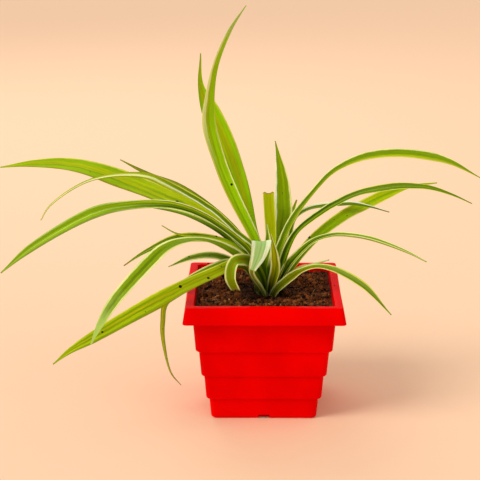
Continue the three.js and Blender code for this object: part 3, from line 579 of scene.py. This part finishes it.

# name: (stripes across the blade near its root, stripes towards its tip, how it ends, upper face's
# direction from root to tip, path from root to tip as (x, y, z, width)). Stripes run from the minus edge
# to the plus edge: a green, and the share of the width in hundredths at which it gives way to the next.
# Besides each leaf's own cream margins and greens, the stripes partly hold its light: darker bands stand in
# part for painted shade on a blade's shaded half, and bright lime and yellow bands in part for painted glow
# where light comes through the blade.
LEAVES = {
    "low_right": (
        "cream 12 olive 34 moss 50 olive 62 leaf 86 cream",
        "straw 10 moss 36 fern 80 straw",
        "point", [(-0.2, -0.85, 0.5), (0.5, -0.6, 0.6)], [
        (6, -14.5, 93, 5), (9.5, -19, 102, 6.5), (16, -24, 110.5, 7), (23, -28.5, 118, 7),
        (31, -33, 124.5, 4.2), (41.5, -38, 129, 4), (56, -47, 129, 6), (78, -61, 120, 6.5),
        (99, -73, 100, 1),
    ]),
    "creased_front": (
        "cream 22 olive 70 cream",
        "frost 17 mint 74 frost",
        "torn", [
            (0, 1, 0.2), (0, 1, 0.2), (0, 1, 0.2), (0, 1, 0.3), (0, 0.8, 0.6), (0, 0, 1), (0, -0.8, 0.6),
            (0, -1, 0.3), (0, -1, 0.2),
        ], [
        (2, -15.5, 95, 3.6), (-3, -24, 107, 3.8), (-10, -32, 122, 4.6), (-6, -38, 137, 10),
        (-3, -41, 148, 14.5), (-2.5, -42.4, 150.8, 15.5), (-2.5, -44, 149, 15), (-5, -45.5, 139, 11),
        (-9.5, -46.5, 128, 5),
    ]),
    "inner_right": (
        "straw 14 olive 36 moss 52 olive 86 cream",
        "cream 18 olive 40 gold 75 olive 88 cream",
        "point", [(-0.5, -0.85, 0.2), (-0.5, -0.85, 0.2)], [
        (4, -13, 94, 4.4), (7, -17, 108, 8), (9.5, -21, 122, 9), (8.5, -23, 135, 7), (5, -24, 152, 1),
    ]),
    "inner_left": (
        "deep 20 moss 30 deep 74 moss 84 deep",
        "cream 22 leaf 50 moss 80 cream",
        "point", [(-0.3, -0.95, 0.2), (-0.3, -0.95, 0.2)], [
        (2, -12, 94, 4.6), (1.5, -14, 108, 8), (0, -15, 123, 10), (3, -16, 137, 8), (2, -15, 158, 1),
    ]),
    "curled_stub": (
        "moss 30 deep 70 moss",
        "cream 14 leaf 44 olive 60 leaf 86 cream",
        "ragged", [(-0.2, -0.8, 0.6), (-0.6, -0.8, -0.2)], [
        (1, -14, 93, 4.2), (-0.5, -20, 111, 6), (-11, -28, 130, 9.5), (-24, -38, 132.5, 9.5),
        (-27, -41, 120, 10.5), (-22.5, -40, 109, 9.5),
    ]),
    "low_left_broad": (
        "straw 7 lime 30 leaf 38 gold 56 leaf 62 lime 94 olive",
        "straw 5 lime 20 leaf 32 gold 48 leaf 60 lime 80 leaf 94 olive",
        "point", [(0.3, -0.6, 0.8), (-0.3, -0.8, 0.6)], [
        (-2.5, -12.5, 93, 4.2), (-4.5, -16.5, 107, 5), (-9, -19.5, 122, 6.5), (-19.5, -23.5, 129.5, 8.5),
        (-29, -28, 125.5, 9.5), (-64, -49, 115, 11.5), (-88, -61, 105, 14), (-134, -79, 83, 10),
        (-152.5, -85, 73.5, 5), (-165, -88, 64, 1),
    ]),
    "low_left_long": (
        "cream 16 leaf 58 moss 84 olive 94 straw",
        "cream 14 leaf 40 moss 60 leaf 86 cream",
        "faded", [
            (0.45, -0.55, 0.7), (0.2, -0.7, 0.6), (0, -0.25, 1), (-0.25, -0.85, 0.5), (-0.3, -0.9, 0.5),
        ], [
        (-3.5, -10.5, 94, 4.2), (-6, -14.5, 110, 5.5), (-11.5, -17, 122, 7.5), (-22, -24, 134, 8.5),
        (-34.5, -33, 144, 8.5), (-48, -44, 152, 7.5), (-62, -55, 155, 8), (-76, -65, 153, 9.5),
        (-88, -73, 144.5, 11.5), (-117, -89, 114.5, 9.5), (-126.5, -94, 99.5, 6), (-134, -98, 84, 1.2),
    ]),
    "mid_left_sliver": (
        "leaf 30 lime 70 leaf",
        "leaf 40 lime",
        "point", [(0.45, -0.55, 0.7), (0, -0.6, 0.8)], [
        (-2, -10, 94, 3), (-5, -12, 112, 4), (-24, -20, 140, 5), (-39, -26, 148, 4),
        (-69, -41, 156.5, 1.8), (-81, -47, 165, 0.9),
    ]),
    "hanging_left": (
        "olive 30 gold 55 moss 70 olive",
        "olive 24 gold 40 olive 80 moss",
        "point", [(0.3, -0.6, 0.8), (-0.9, -0.4, 0.1)], [
        (-4.5, -6.5, 94, 3.2), (-6.5, -7.5, 104, 3.6), (-14, -10, 118, 4.2), (-35, -15, 119, 4.8),
        (-55, -21, 109, 5.5), (-79, -29, 95, 6), (-82, -30, 79, 5.8), (-82, -30, 64, 5.4),
        (-76, -30, 35, 3.4), (-68, -30, 24, 0.9),
    ]),
    "thin_left": (
        "cream 26 leaf 84 cream",
        "cream 30 leaf 84 cream",
        "point", [(0.3, -0.5, 0.8), (-0.2, -0.6, 0.8)], [
        (-5, -8.5, 93, 3.2), (-6, -9.5, 106, 4), (-11.5, -11, 120, 5), (-29, -15, 126, 5),
        (-44, -18, 122, 4.5), (-55.5, -20, 117, 3.5), (-71, -22, 109, 0.9),
    ]),
    "mid_left_dark": (
        "straw 12 deep 44 straw 50 moss 86 straw",
        "straw 10 moss 44 straw 50 moss 88 cream",
        "dry", [(0.45, -0.5, 0.7), (-0.3, -0.7, 0.7)], [
        (-6.5, -6, 93, 4), (-8, -9, 110, 5.5), (-26, -14, 137, 7.5), (-40, -18, 145, 7.5),
        (-69, -27, 148.5, 9), (-95.5, -33, 139, 4), (-112.5, -36, 128.5, 1),
    ]),
    "small_left": (
        "cream 14 moss 56 leaf 86 cream",
        "cream 16 fern 34 moss 62 fern 86 cream",
        "point", [(0.3, -0.5, 0.8), (-0.2, -0.6, 0.8)], [
        (-5, -2.5, 93, 3.6), (-8, -3, 105, 4.5), (-15.5, -3, 116, 5), (-39.5, -3, 127, 7.5),
        (-59, -3, 125.5, 6.5), (-78.5, -3, 117.5, 0.9),
    ]),
    "arch_left_dark": (
        "moss 14 cream 26 moss 62 deep",
        "moss 18 cream 30 leaf 66 moss",
        "point", [(0.45, -0.5, 0.7), (0, -0.5, 0.85)], [
        (-4.5, -4.5, 94, 4.2), (-7, -5, 114, 6), (-11, -5, 126, 7), (-21.5, -4, 134, 7.5),
        (-33, -2, 145, 7), (-45.5, 0, 153, 6), (-62.5, 2, 160.5, 5), (-77, 4, 164, 4),
        (-93.5, 6, 166.5, 3), (-103.5, 8, 167.5, 1.2),
    ]),
    "arch_left_long": (
        "cream 12 deep 18 lime 34 moss 62 deep 80 leaf 90 cream",
        "sage 12 leaf 42 fresh 54 sage 60 fresh 80 fern",
        "point", [(0.5, -0.5, 0.7), (0, -0.7, 0.7)], [
        (-3, -7.5, 94, 4.4), (-6, -10, 115, 6), (-10.5, -12, 131, 7), (-20.5, -14, 143, 7),
        (-51.5, -23, 167.5, 7), (-77, -29, 177, 8), (-112, -37, 178, 9), (-137, -42, 173, 10.5),
        (-185, -52, 147, 7), (-208, -56, 128.5, 1.2),
    ]),
    "arch_left_thin": (
        "straw 10 moss 38 leaf 46 ivory 61 lime",
        "olive 14 lime 40 cream 78 olive",
        "point", [(0.5, -0.5, 0.7), (0, -0.5, 0.85)], [
        (0, -7, 96, 4), (-4, -8, 123, 5), (-9.5, -9, 136.5, 6), (-23, -9, 148, 7), (-42, -9, 166, 8.5),
        (-79, -7, 188, 8.5), (-98, -6, 195.5, 6.5), (-140.5, -4, 191, 3), (-174.5, -2, 169, 1.8),
        (-182.5, -1, 156.5, 0.9),
    ]),
    "arch_left_broad": (
        "straw 6 lime 34 leaf 46 lime 64 leaf 72 lime 93 olive",
        "straw 6 fresh 30 lime 60 leaf 66 fresh 94 olive",
        "point", [(0.5, -0.5, 0.7), (0, -0.75, 0.65)], [
        (-1.5, -3.5, 94, 4.4), (-5, 0, 121, 6), (-13, 3, 133.5, 8.5), (-42.5, 14, 152, 12.5),
        (-68.5, 25, 163, 17), (-119, 46, 178.5, 18.5), (-147, 54, 186.5, 15.5), (-170.5, 61, 189, 11.5),
        (-199, 68, 187.5, 6.5), (-226, 74, 183, 1.2),
    ]),
    "arch_left_hidden": (
        "moss 50 leaf",
        "moss 30 olive 80 moss",
        "point", [(0.5, -0.4, 0.7), (0, -0.5, 0.85)], [
        (-2.5, -2, 94, 4.5), (-8.5, 5, 123, 5.5), (-23, 24, 140.5, 5), (-44.5, 44, 156, 5),
        (-73, 62, 170.5, 4.8), (-99, 76, 176.5, 4.5), (-124, 86, 187, 1),
    ]),
    "tall_left": (
        "cream 8 bright 46 fresh 58 bright 78 lime 90 straw",
        "lime 8 bright 48 lime 68 cream",
        "faded", [(0.4, -0.85, 0.3), (0.7, -0.7, -0.1)], [
        (1.5, -3.5, 95, 4.5), (0, -2, 121, 6), (-6, 0, 136, 8.5), (-27.5, 8, 178.5, 11.5),
        (-37, 13, 202, 12.5), (-45.5, 17, 232.5, 13.5), (-44.5, 20, 256, 9.5), (-39.5, 22, 282, 6.5),
        (-28, 22, 309, 4), (-15, 21, 329, 1),
    ]),
    "tall_back": (
        "fresh 6 bright 28 lime 58 bright 76 leaf 90 sage",
        "straw 5 bright 30 lime 80 fresh",
        "point", [(0.4, -0.85, 0.3), (0.5, -0.85, 0)], [
        (2, -0.5, 94, 4.5), (0, 6, 119, 7), (-9, 13, 140, 9), (-16, 21, 165.5, 12.5), (-23, 28, 188, 15.5),
        (-31.5, 34, 212, 17), (-44.5, 40, 239, 16.5), (-52.5, 44, 260, 5.5), (-52.5, 47, 286, 1),
    ]),
    "upright_cut": (
        "lime 36 gold 58 lime 90 straw",
        "straw 8 lime 30 gold 44 lime 92 straw",
        "cut", [(-0.2, -0.95, 0.2), (-0.2, -0.95, 0.1)], [
        (4.5, -4, 95, 5), (6, -4, 128, 8), (5.5, -1, 149, 9), (4.5, 0, 165, 9.5), (3.5, 1, 180, 9.4),
    ]),
    "upright_point": (
        "cream 12 leaf 46 moss 60 leaf 86 ivory",
        "cream 10 leaf 34 fresh 50 leaf 88 ivory",
        "point", [(0.1, -0.97, 0.2), (0.1, -0.97, 0.1)], [
        (6, -1.5, 94, 5), (11.5, 3, 123, 8.5), (15.5, 11, 158, 14.5), (15.5, 15, 174, 13.5),
        (14, 18, 191, 9.5), (9, 22, 218, 1),
    ]),
    "arch_right_low": (
        "cream 10 moss 30 straw 38 deep 62 moss 88 cream",
        "olive 30 cream 48 leaf 84 cream",
        "point", [(-0.3, -0.6, 0.75), (0.2, -0.6, 0.8)], [
        (9.5, -11, 93, 4.5), (14.5, -14, 111, 6.5), (20.5, -17, 123, 8.5), (30.5, -22, 137, 7.5),
        (40, -27, 147, 5.5), (55.5, -34, 154, 4.5), (72.5, -42, 155.5, 4.5), (88.5, -50, 154, 4.5),
        (112.5, -60, 147, 2.4), (126, -65, 141, 1),
    ]),
    "arch_right_mid": (
        "straw 8 deep 30 leaf 46 moss 60 deep 88 cream",
        "straw 8 moss 40 leaf 52 moss 92 straw",
        "point", [(-0.4, -0.6, 0.7), (0.2, -0.5, 0.85)], [
        (6, -10, 94, 4.4), (14, -12, 118.5, 7), (20.5, -14, 139, 7.5), (27.5, -17, 152.5, 6),
        (40, -20, 164.5, 6.5), (56, -24, 176.5, 6.5), (74, -28, 186.5, 6.5), (91, -32, 191.5, 7.5),
        (108.5, -36, 194.5, 7), (129.5, -41, 194.5, 5), (146.5, -45, 190, 2.5), (162, -48, 183.5, 1),
    ]),
    "arch_right_high": (
        "straw 6 olive 18 leaf 48 moss 86 cream",
        "straw 12 lime 34 leaf 88 cream",
        "point", [(-0.4, -0.6, 0.7), (0.2, -0.6, 0.8)], [
        (5.5, -7.5, 95, 4.5), (10, -7, 123, 6), (14, -6, 138, 6.5), (23, -3, 158, 6), (38.5, 3, 178, 4.5),
        (55.5, 9, 195, 5), (75.5, 14, 204.5, 7), (93.5, 19, 207.5, 8.5), (113.5, 23, 207.5, 9.5),
        (136.5, 27, 204, 9.5), (155, 31, 198, 6.5), (180, 35, 184, 1),
    ]),
    "broad_right": (
        "straw 8 leaf 34 fresh 56 leaf 92 straw",
        "straw 8 lime 34 fresh 60 lime 92 straw",
        "point", [(-0.3, -0.8, 0.5), (0.1, -0.75, 0.65)], [
        (8.5, -6, 94, 5), (17.5, -3, 110, 7), (30, 5, 125.5, 7.8), (43.5, 14, 138.5, 8.8),
        (66.5, 28, 152.5, 10), (84.5, 40, 159, 10), (102.5, 50, 165, 9), (123.5, 60, 170, 4),
        (149, 73, 170, 1),
    ]),
    "small_right": (
        "sage 30 leaf 60 cream",
        "sage 50 cream",
        "point", [(-0.2, -0.6, 0.8), (0.2, -0.6, 0.8)], [
        (10.5, -6.5, 93, 3.6), (19, -5, 104.5, 4.5), (28.5, -2, 115.5, 4), (39, 1, 118, 2.8),
        (54, 6, 121, 0.9),
    ]),
    "thin_right": (
        "sage 20 moss 74 cream",
        "moss 66 ivory",
        "point", [(-0.3, -0.6, 0.8), (0.1, -0.6, 0.8)], [
        (8.5, -2, 93, 3.8), (14, 3, 115, 5), (20, 12, 136, 5.5), (25.5, 20, 153, 5),
        (35.5, 24, 159.5, 4.5), (47.5, 27, 162, 5), (63.5, 29, 163, 5), (75, 30, 163, 4.5),
        (89, 31, 160, 2.4), (105, 32, 155, 1),
    ]),
    "small_back": (
        "cream 14 leaf 80 straw",
        "straw 16 leaf 60 olive",
        "point", [(-0.3, -0.8, 0.5), (0.1, -0.8, 0.5)], [
        (5, 1, 93, 3.8), (12, 12, 117, 5), (17, 26, 134, 5.5), (22, 38, 147, 5), (28, 49, 161, 1.4),
    ]),
}


def cubic(start, end, slope, last_slope, s):
    """The cubic from start to end, with these slopes, at shares s of the way."""
    bend = 3 * (end - start) - 2 * slope - last_slope
    return start + slope * s + bend * s**2 + (2 * (start - end) + slope + last_slope) * s**3


def curve_through(points, t):
    """Centripetal Catmull-Rom curve through points at shares t: between two points it is a cubic whose
    end slopes come from the neighbours, with each step weighed by the square root of its length."""
    ends = np.vstack([2 * points[0] - points[1], points, 2 * points[-1] - points[-2]])
    place = np.clip(t * (len(points) - 1), 0, len(points) - 1 - 1e-9)
    i = place.astype(int)
    s = (place - i)[:, None]
    p0, p1, p2, p3 = ends[i], ends[i + 1], ends[i + 2], ends[i + 3]
    steps = (p1 - p0, p2 - p1, p3 - p2)
    d0, d1, d2 = (np.linalg.norm(step, axis=1, keepdims=True) ** 0.5 for step in steps)
    m1 = d1 * ((p1 - p0) / d0 - (p2 - p0) / (d0 + d1) + (p2 - p1) / d1)
    m2 = d1 * ((p2 - p1) / d1 - (p3 - p1) / (d1 + d2) + (p3 - p2) / d2)
    return cubic(p1, p2, m1, m2, s)


def widths_through(widths, t):
    """Widths at shares t: a cubic between each two, whose end slopes are half the step between the
    neighbours."""
    ends = np.concatenate([widths[:1], widths, widths[-1:]])
    place = np.clip(t * (len(widths) - 1), 0, len(widths) - 1 - 1e-9)
    i = place.astype(int)
    s = place - i
    p0, p1, p2, p3 = ends[i], ends[i + 1], ends[i + 2], ends[i + 3]
    return cubic(p1, p2, (p2 - p0) / 2, (p3 - p1) / 2, s)


def unit(vectors):
    """Vectors of length one."""
    return vectors / np.linalg.norm(vectors, axis=-1, keepdims=True)


def blade(face, path, ending, seed):
    """Rings[row, place] of a folded strap and the facts that its colour follows. A point is the path's
    point plus a share of the half width sideways, plus the keel's rise, which bends smoothly over the
    fold, plus or minus half the thickness, which thins to the edges. Edges wave a little, and a cut end
    is ragged."""
    route = np.array(path, float)
    dense = np.linspace(0, 1, 1200)
    line = curve_through(route[:, :3], dense)
    run = np.concatenate([[0], np.cumsum(np.linalg.norm(np.diff(line, axis=0), axis=1))])
    rows = int(max(60, run[-1] / (CREASED_STEP if len(face) > 4 else ROW_STEP)))
    t = np.interp(np.linspace(0, run[-1], rows), run, dense)
    centre = curve_through(route[:, :3], t)
    along = unit(curve_through(route[:, :3], t + 1e-4) - curve_through(route[:, :3], t - 1e-4))
    stops = np.linspace(0, 1, len(face))
    up = np.stack([np.interp(t, stops, np.array(face)[:, axis]) for axis in range(3)], axis=1)
    up = unit(up - np.sum(up * along, axis=1, keepdims=True) * along)
    side = np.cross(up, along)
    half = np.maximum(widths_through(route[:, 3], t), 0.3) / 2
    keel = half * (ROOT_KEEL + (TIP_KEEL - ROOT_KEEL) * np.minimum(1, t / KEEL_LENGTH))
    share = np.sin(np.linspace(-math.pi / 2, math.pi / 2, COLUMNS))
    across = np.concatenate([share, share[::-1]])
    top = np.repeat([0.0, 1.0], COLUMNS)
    low = math.sqrt(FOLD_SOFT)
    fold = (np.sqrt(across**2 + FOLD_SOFT) - low) / (math.sqrt(1 + FOLD_SOFT) - low)
    thick = (EDGE_THICK + (BLADE_THICK - EDGE_THICK) * (1 - across**2)) / 2
    distance = np.linspace(0, run[-1], rows)[:, None]
    draw = np.random.default_rng(seed)
    sway = np.sin(distance / draw.uniform(7, 12) + draw.uniform(0, 6) + (across > 0) * 2.1)
    wave = EDGE_WAVE * half[:, None] * sway * np.abs(across) ** 3 * np.minimum(distance / 30, 1)
    lift = keel[:, None] * fold + wave + thick * (2 * top - 1) * (1 + np.exp(-distance / 12))
    reach = half[:, None] * across
    rings = centre[:, None] + side[:, None] * reach[..., None] + up[:, None] * lift[..., None]
    if ending in ("cut", "ragged"):
        ragged = FRAY * np.sin(9 * across + draw.uniform(0, 6)) - NOTCH * np.exp(-((across / 0.22) ** 2))
        rings[-3:] += along[-3:, None] * (ragged * np.array([[0.3], [0.65], [1.0]]))[..., None]
    facts = {
        "across": np.broadcast_to(across, lift.shape),
        "along": np.broadcast_to(distance, lift.shape),
        "half": np.broadcast_to(half[:, None], lift.shape),
        "upper": np.broadcast_to(top, lift.shape),
    }
    return rings, facts


def strap_skin(name, rings, facts):
    """A closed mesh over the rings of a strap: the faces between its rows, and at either end a strip of
    faces that joins the lower side to the upper. Its points carry the facts."""
    rows, count = rings.shape[:2]
    quads = ring_faces(rings)[2]
    low, high = np.arange(COLUMNS - 1), count - 1 - np.arange(COLUMNS - 1)
    root = np.stack([low + 1, low, high, high - 1], axis=-1)
    tip = np.stack([low, low + 1, high - 1, high], axis=-1) + (rows - 1) * count
    mesh = bpy.data.meshes.new(name)
    faces = np.concatenate([quads, root, tip])
    mesh.from_pydata((rings.reshape(-1, 3) * MM).tolist(), [], faces.tolist())
    for fact, values in facts.items():
        column = mesh.attributes.new(fact, "FLOAT", "POINT")
        column.data.foreach_set("value", values.ravel().astype(np.float32))
    mesh.shade_smooth()
    return mesh


def stripes(tree, across, words):
    """Colour bands across a blade: each green keeps to its share of the width, with soft borders."""
    words = words.split()
    greens, borders = words[::2], [0.0] + [float(word) / 100 for word in words[1::2]] + [1.0]
    node = tree.nodes.new("ShaderNodeValToRGB")
    wire(tree, node.inputs[0], across)
    ramp = node.color_ramp
    places = []
    for green, low, high in zip(greens, borders, borders[1:]):
        soft = min(0.03, (high - low) * 0.3)
        places += [(low + soft * (low > 0), green), (high - soft * (high < 1), green)]
    while len(ramp.elements) < len(places):
        ramp.elements.new(1.0)
    for element, (place, green) in zip(ramp.elements, places):
        element.position = place
        element.color = shade(*GREENS[green])
    return node.outputs[0]


def leaf_skin(name, near, far, length, ending, specks, seed):
    """Leaf tissue: stripes of green that wander and break up along the blade, fine streaks and ribs with
    the veins, painted shade along the fold down the middle and over the base, a paler underside, a dry
    end and dark specks."""
    material, tree, shader, place = finish_of(name)

    def fact(kind):
        node = tree.nodes.new("ShaderNodeAttribute")
        node.attribute_name = kind
        return node.outputs["Fac"]

    across, along, half = fact("across"), fact("along"), fact("half")
    out = reckon(tree, "MULTIPLY", across, half)

    def streaks(wide, long, detail):
        node = tree.nodes.new("ShaderNodeCombineXYZ")
        wire(tree, node.inputs[0], reckon(tree, "DIVIDE", out, wide))
        wire(tree, node.inputs[1], reckon(tree, "DIVIDE", along, long))
        wire(tree, node.inputs[2], 3.7 * seed)
        return mottle(tree, node.outputs[0], 1.0, detail, 0.6)

    veins = streaks(0.7, 30.0, 3.0)
    bands = streaks(2.4, 60.0, 2.0)
    patches = streaks(9.0, 14.0, 4.0)
    wander = reckon(tree, "MULTIPLY_ADD", streaks(60.0, 9.0, 2.0), 0.12, -0.06)
    where = reckon(tree, "ADD", reckon(tree, "MULTIPLY_ADD", across, 0.5, 0.5), wander)
    where = reckon(tree, "ADD", where, reckon(tree, "MULTIPLY_ADD", veins, 0.08, -0.04))
    share = reckon(tree, "DIVIDE", along, length)
    body = tint(tree, rise(tree, share, *RECOLOUR), stripes(tree, where, near), stripes(tree, where, far))
    light = reckon(tree, "MULTIPLY_ADD", veins, 0.8, 0.3)
    light = reckon(tree, "ADD", light, reckon(tree, "MULTIPLY", bands, 0.55))
    light = reckon(tree, "ADD", light, reckon(tree, "MULTIPLY", patches, 0.15))
    # Painted shade: towards its root the blade darkens to three tenths of its brightness, as if shaded by
    # the leaves round the crown.
    dark_at_soil = reckon(tree, "MULTIPLY_ADD", rise(tree, along, *BASE_SHADE), -0.7, 1.0)
    light = reckon(tree, "MULTIPLY", light, dark_at_soil)
    # Painted shade: the blade darkens a little along the fold down its middle.
    crease_shade = rise(tree, reckon(tree, "ABSOLUTE", out), *CREASE_SHADE_WIDTH)
    light = reckon(tree, "MULTIPLY", light, reckon(tree, "MULTIPLY_ADD", crease_shade, -0.1, 1.0))
    scaled = tree.nodes.new("ShaderNodeVectorMath")
    scaled.operation = "SCALE"
    wire(tree, scaled.inputs[0], body)
    wire(tree, scaled.inputs["Scale"], light)
    below = tint(tree, 0.2, scaled.outputs[0], shade(*GREENS["sage"]))
    body = tint(tree, fact("upper"), below, scaled.outputs[0])
    dry, brown = ENDS[ending]
    frayed = reckon(tree, "MULTIPLY_ADD", patches, dry, along)
    ended = rise(tree, frayed, length - dry * 0.5, length + dry * 0.4)
    body = tint(tree, ended, body, shade(*GREENS[brown]))
    for way, sideways, size in specks:
        onward = reckon(tree, "SUBTRACT", along, way * length)
        aside = reckon(tree, "SUBTRACT", out, sideways)
        square = reckon(tree, "MULTIPLY_ADD", onward, onward, reckon(tree, "MULTIPLY", aside, aside))
        away = reckon(tree, "ADD", reckon(tree, "SQRT", square), veins)
        body = tint(tree, rise(tree, away, size + 0.7, size + 0.4), body, shade(*SPECK))
    wire(tree, shader.inputs["Base Color"], body)
    wire(tree, shader.inputs["Roughness"], reckon(tree, "MULTIPLY_ADD", veins, 0.2, 0.36))
    shader.inputs["Specular IOR Level"].default_value = 0.12
    shader.inputs["Specular Tint"].default_value = (0.9, 1.0, 0.4, 1)
    shader.inputs["Subsurface Weight"].default_value = 0.2
    shader.inputs["Subsurface Radius"].default_value = (0.8, 1.0, 0.1)
    shader.inputs["Subsurface Scale"].default_value = 0.0008
    ribs = reckon(tree, "SINE", reckon(tree, "MULTIPLY", out, RIB_PACE))
    dent(tree, shader, reckon(tree, "MULTIPLY_ADD", ribs, 0.4, veins), 0.00012)
    return material


for number, (leaf, (near, far, ending, face, path)) in enumerate(LEAVES.items()):
    rings, facts = blade(face, path, ending, number)
    length = float(facts["along"].max())
    tissue = leaf_skin(f"leaf_tissue_{leaf}", near, far, length, ending, SPECKS.get(leaf, []), number)
    piece(f"{leaf}_leaf", strap_skin(f"{leaf}_leaf", rings, facts), tissue, [f"leaf_{leaf}"])

# ======== Studio ========
# A plain pale floor, a soft window-like light from the left, a weaker one from the right, one from behind
# that shines through the leaves, and the camera a little above the plant.
FLOOR_COLOUR = (243, 203, 168)
FLOOR_HALF = 4
LIT_HEIGHT = 0.12  # of the point that the lights are aimed at
CAMERA_PLACE = (-0.0118, -1.2256, 0.4944)
CAMERA_TILT, CAMERA_TURN = 73.86, 0.37
SENSOR, LENS = 36, 116.65
floor = bpy.data.meshes.new("floor")
floor_corners = np.array([(-1, -1, 0), (1, -1, 0), (1, 1, 0), (-1, 1, 0)]) * FLOOR_HALF
floor.from_pydata(floor_corners.tolist(), [], [(0, 1, 2, 3)])
floor_finish, _, floor_shader, _ = finish_of("floor_paint")
floor_shader.inputs["Base Color"].default_value = shade(*FLOOR_COLOUR)
floor_shader.inputs["Roughness"].default_value = 0.75
floor.materials.append(floor_finish)
floor_piece = bpy.data.objects.new("floor", floor)
bpy.context.scene.collection.objects.link(floor_piece)


def soft_light(name, kind, place, size, power, colour):
    """A light that shines on the plant from a place: an even sky-wide one or a near square panel."""
    lamp = bpy.data.lights.new(name, kind)
    if kind == "SUN":
        lamp.angle = size
    else:
        lamp.size = size
    lamp.energy = power
    lamp.color = colour
    light = bpy.data.objects.new(name, lamp)
    towards = np.array([0, 0, LIT_HEIGHT]) - np.array(place)
    flat = math.hypot(towards[0], towards[1])
    light.location = place
    light.rotation_euler = (math.atan2(flat, -towards[2]), 0, math.atan2(-towards[0], towards[1]))
    bpy.context.scene.collection.objects.link(light)


soft_light("window_left", "SUN", (-1.3, -0.75, 1.5), 0.5, 1.85, (1.0, 0.97, 0.92))
soft_light("fill_right", "AREA", (1.3, -1.0, 0.8), 1.0, 3, (1.0, 0.98, 0.95))
soft_light("back_light", "AREA", (-0.4, 1.3, 1.2), 1.0, 6, (1.0, 0.97, 0.92))
world = bpy.data.worlds.new("studio_air")
world.use_nodes = True
air = world.node_tree.nodes["Background"]
air.inputs["Color"].default_value = (1.0, 0.93, 0.86, 1)
air.inputs["Strength"].default_value = 0.62
bpy.context.scene.world = world
bpy.context.scene.view_settings.view_transform = "Standard"

lens = bpy.data.cameras.new("camera")
lens.sensor_width = SENSOR
lens.lens = LENS
camera = bpy.data.objects.new("camera", lens)
camera.location = CAMERA_PLACE
camera.rotation_euler = (math.radians(CAMERA_TILT), 0, math.radians(CAMERA_TURN))
bpy.context.scene.collection.objects.link(camera)
bpy.context.scene.camera = camera
